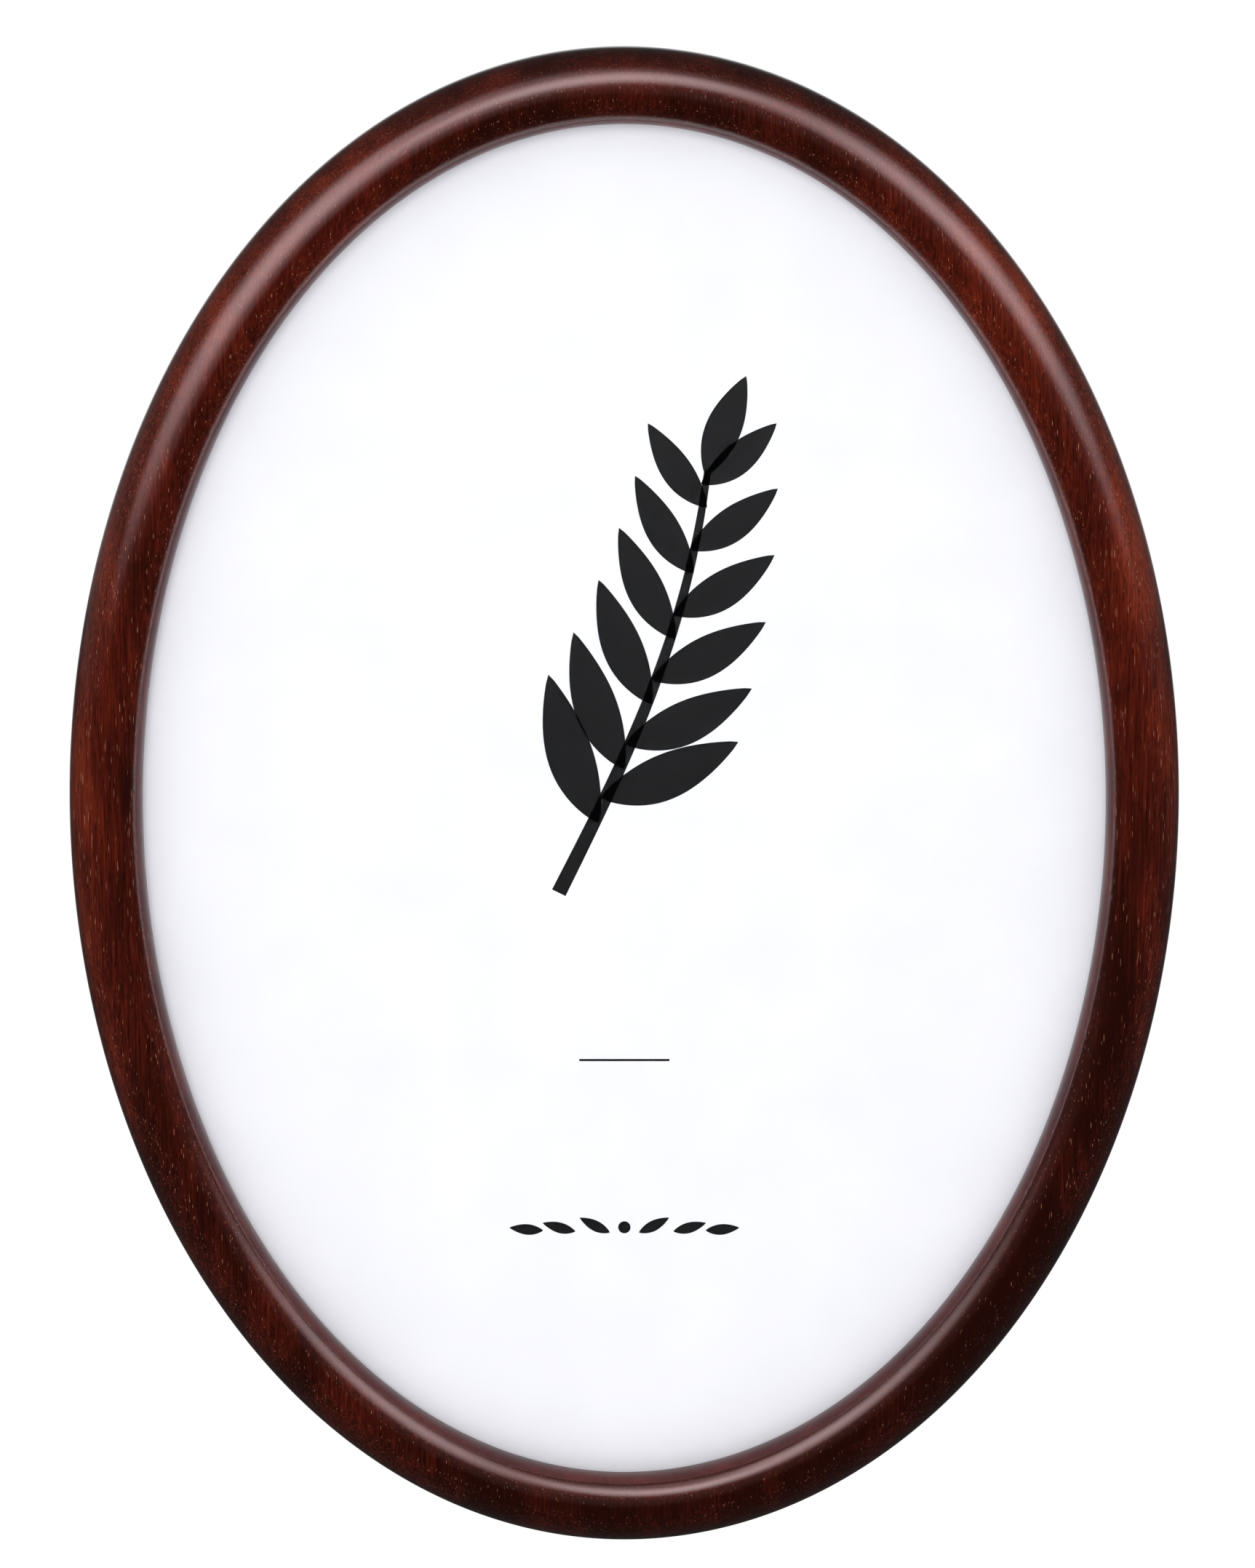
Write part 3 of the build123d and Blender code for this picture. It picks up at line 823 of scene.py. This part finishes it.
def world_light():
    """The studio round the object, as brightness by direction.

    Reflections see a dim room, paler overhead in front, level with the object at its sides and straight
    behind it. Diffuse rays get a soft fill from above, from both sides and, for the back, from behind. The
    camera sees white.
    """
    world = bpy.data.worlds.new("studio")
    world.use_nodes = True
    tree = world.node_tree
    tree.nodes.clear()
    ray = add(tree, "TexCoord").outputs["Generated"]
    x, y, z = add(tree, "SeparateXYZ", {0: ray}).outputs
    level = add(tree, "Math", {0: z}, operation="ABSOLUTE").outputs[0]
    across = add(tree, "Math", {0: x}, operation="ABSOLUTE").outputs[0]
    upper = add(tree, "Math", {0: z, 1: 0.0}, operation="MAXIMUM").outputs[0]
    front = add(tree, "Math", {0: y, 1: -1.0}, operation="MULTIPLY").outputs[0]
    front = add(tree, "Math", {0: front, 1: 0.0}, operation="MAXIMUM").outputs[0]

    # Each ramp: its name, the part of the direction that it follows, where it starts and ends, and its value
    # at the start and at the end
    ramps = {
        name: add(
            tree,
            "MapRange",
            {"Value": value, "From Min": start, "From Max": end, "To Min": low, "To Max": high},
            interpolation_type="SMOOTHSTEP",
        ).outputs[0]
        for name, value, start, end, low, high in (
            ("height", z, -0.35, 0.2, 0.035, 0.1),
            ("less behind", y, -0.1, 0.3, 1.0, 0.5),
            ("level", level, 0.0, 0.5, 0.05, 0.0),
            ("beside", y, -0.1, 0.3, 0.0, 1.0),
            ("more on the left", x, -0.7, 0.7, 1.3, 0.7),
            ("straight behind", y, 0.88, 0.97, 0.0, 0.3),
            ("fill from above", z, -0.3, 0.3, 0.05, 0.7),
            ("fill from behind", y, 0.1, 0.5, 0.0, 0.5),
            ("fill from the sides", across, 0.3, 0.9, 0.0, 0.7),
        )
    }
    overhead = add(tree, "Math", {0: upper, 1: front}, operation="MULTIPLY").outputs[0]
    side = add(tree, "Math", {0: ramps["level"], 1: ramps["beside"]}, operation="MULTIPLY").outputs[0]
    room = {0: ramps["height"], 1: ramps["less behind"], 2: ramps["straight behind"]}
    glossy = add(tree, "Math", room, operation="MULTIPLY_ADD").outputs[0]
    paler_overhead = {0: overhead, 1: OVERHEAD_STRENGTH, 2: glossy}
    glossy = add(tree, "Math", paler_overhead, operation="MULTIPLY_ADD").outputs[0]
    left_side = {0: side, 1: ramps["more on the left"], 2: glossy}
    glossy = add(tree, "Math", left_side, operation="MULTIPLY_ADD").outputs[0]
    diffuse = ramps["fill from above"]
    for other in ("fill from behind", "fill from the sides"):
        diffuse = add(tree, "Math", {0: diffuse, 1: ramps[other]}, operation="ADD").outputs[0]
    path = add(tree, "LightPath")
    strength = add(tree, "Mix", {0: path.outputs["Is Diffuse Ray"], 2: glossy, 3: diffuse}).outputs[0]
    strength = add(tree, "Mix", {0: path.outputs["Is Camera Ray"], 2: strength, 3: 1.0}).outputs[0]
    shader = add(tree, "Background", {"Color": grey(1.0), "Strength": strength})
    add(tree, "OutputWorld", {"Surface": shader.outputs[0]})
    bpy.context.scene.world = world


def front_light(place, size, radiance):
    """A large soft light in front, crossed with a polariser so that lacquer and glass don't mirror it."""
    lamp = bpy.data.lights.new("front_light", "AREA")
    lamp.shape = "DISK"
    lamp.size = size
    lamp.energy = radiance * pi * pi * size * size / 4
    light = bpy.data.objects.new("front_light", lamp)
    light.location = place
    light.rotation_euler = (-Vector(place)).to_track_quat("-Z", "Y").to_euler()
    light.visible_glossy = False
    light.visible_transmission = False
    bpy.context.scene.collection.objects.link(light)


def lamp_glow():
    """The gauze of a soft lamp: full in the middle, faded smoothly to nothing at the rim, and see-through."""
    made, tree = material("studio_lamp_gauze")
    reach = add(tree, "Attribute", attribute_name="reach").outputs["Vector"]
    flat = add(tree, "VectorMath", {0: reach, 1: (1.0, 1.0, 0.0)}, operation="MULTIPLY").outputs[0]
    away = add(tree, "VectorMath", {0: flat}, operation="LENGTH").outputs["Value"]
    limits = {"From Min": 0.0, "From Max": 1.0, "To Min": 1.0, "To Max": 0.0}
    fade = add(tree, "MapRange", {"Value": away, **limits}, interpolation_type="SMOOTHSTEP").outputs[0]
    full = add(tree, "SeparateXYZ", {0: reach}).outputs[2]
    strength = add(tree, "Math", {0: fade, 1: full}, operation="MULTIPLY").outputs[0]
    light = add(tree, "Emission", {"Color": linear("fafaff"), "Strength": strength})
    gauze = add(tree, "BsdfTransparent", {"Color": grey(1.0)})
    shader = add(tree, "AddShader", {0: light.outputs[0], 1: gauze.outputs[0]})
    add(tree, "OutputMaterial", {"Surface": shader.outputs[0]})
    return made


def soft_lamp(name, place, roll, half_width, half_height, radiance, glow):
    """An oval soft lamp that faces the object and shows only in reflections.

    Its corners carry their place across the oval, from -1 to 1 both ways, and the full radiance.
    """
    place = np.array(place)
    toward = -place / np.linalg.norm(place)
    upward = np.array([0, 0, 1]) - toward[2] * toward
    upward /= np.linalg.norm(upward)
    sideways = np.cross(upward, toward)
    wide = half_width * (cos(roll) * sideways + sin(roll) * upward)
    tall = half_height * (cos(roll) * upward - sin(roll) * sideways)
    corners = [(-1, -1), (1, -1), (1, 1), (-1, 1)]
    mesh = bpy.data.meshes.new(name)
    mesh.from_pydata([tuple(place + a * wide + b * tall) for a, b in corners], [], [(0, 1, 2, 3)])
    field = mesh.attributes.new("reach", "FLOAT_VECTOR", "POINT")
    field.data.foreach_set("vector", np.array([(a, b, radiance) for a, b in corners], float).ravel())
    mesh.materials.append(glow)
    lamp = bpy.data.objects.new(name, mesh)
    lamp.visible_camera = False
    lamp.visible_diffuse = False
    lamp.visible_transmission = False
    lamp.visible_shadow = False
    bpy.context.scene.collection.objects.link(lamp)


def floor():
    """A large pale floor half a metre below the frame, which hangs in air.

    To the camera it fades to the white surroundings, and mirrors and the pane see it almost black.
    """
    made, tree = material("studio_floor_pale")
    coord = add(tree, "TexCoord").outputs["Object"]
    distance = add(tree, "VectorMath", {0: coord}, operation="LENGTH").outputs["Value"]
    path = add(tree, "LightPath")
    far = add(tree, "MapRange", {"Value": distance, "From Min": 0.56, "From Max": 0.9}).outputs[0]
    white = add(tree, "Math", {0: far, 1: path.outputs["Is Camera Ray"]}, operation="MULTIPLY").outputs[0]
    matt = add(tree, "BsdfPrincipled", {"Base Color": linear("f2f2f3"), "Roughness": 0.9})
    glow = add(tree, "Emission", {"Color": grey(1.0), "Strength": 1.0})
    dim = add(tree, "Emission", {"Color": grey(1.0), "Strength": 0.03})
    shader = add(tree, "MixShader", {0: white, 1: matt.outputs[0], 2: glow.outputs[0]})
    mirrored = add(
        tree,
        "Math",
        {0: path.outputs["Is Glossy Ray"], 1: path.outputs["Is Transmission Ray"]},
        operation="MAXIMUM",
    ).outputs[0]
    shader = add(tree, "MixShader", {0: mirrored, 1: shader.outputs[0], 2: dim.outputs[0]})
    add(tree, "OutputMaterial", {"Surface": shader.outputs[0]})
    mesh = bpy.data.meshes.new("floor")
    reach, level = 12.0, -0.52  # metres
    mesh.from_pydata(
        [(-reach, -reach, level), (reach, -reach, level), (reach, reach, level), (-reach, reach, level)],
        [],
        [(0, 1, 2, 3)],
    )
    mesh.materials.append(made)
    plane = bpy.data.objects.new("floor", mesh)
    bpy.context.scene.collection.objects.link(plane)


def camera(distance, elevation, focal, aim_x, aim_z):
    """The photograph's view: centred on the oval, from a little above it, with a long lens."""
    lens = bpy.data.cameras.new("camera")
    lens.sensor_fit = "AUTO"
    lens.sensor_width = 36.0
    lens.lens = focal
    lens.clip_start, lens.clip_end = 0.05, 60.0
    view = bpy.data.objects.new("camera", lens)
    tilt = radians(elevation)
    place = Vector((0, -distance * cos(tilt), distance * sin(tilt)))
    target = Vector((aim_x, 0, aim_z))
    view.location = place
    view.rotation_euler = (target - place).to_track_quat("-Z", "Y").to_euler()
    bpy.context.scene.collection.objects.link(view)
    bpy.context.scene.camera = view


world_light()
# Its place in metres, its width and its radiance
front_light((-0.15, -1.7, 0.38), 1.0, 5.2)
# Each soft lamp: its place in metres, its roll in radians, its half width and half height, and its radiance.
# The last one lights the fittings at the back.
glow = lamp_glow()
soft_lamp("lamp_left", (-0.394, -0.378, 0.376), -0.27, 0.610, 0.411, 3.9, glow)
soft_lamp("lamp_above", (-0.035, -0.881, 1.107), -0.71, 0.870, 0.505, 5.43, glow)
soft_lamp("lamp_right", (0.752, -0.509, 0.709), 0.37, 1.001, 0.748, 4.17, glow)
soft_lamp("lamp_near", (-0.169, -0.234, 0.173), 0.56, 0.223, 0.153, 1.2, glow)
soft_lamp("lamp_high", (-0.075, -0.230, 0.642), 1.12, 0.209, 0.608, 1.2, glow)
soft_lamp("lamp_behind", (0.0, 0.16, 0.0), 0.0, 0.21, 0.27, 1.6, glow)
floor()
# Metres from the object, degrees above it, focal length in millimetres, and the point aimed at, in metres
camera(0.9, 9.869, 104.52, 0.00063, 0.00595)
bpy.context.scene.view_settings.view_transform = "Standard"
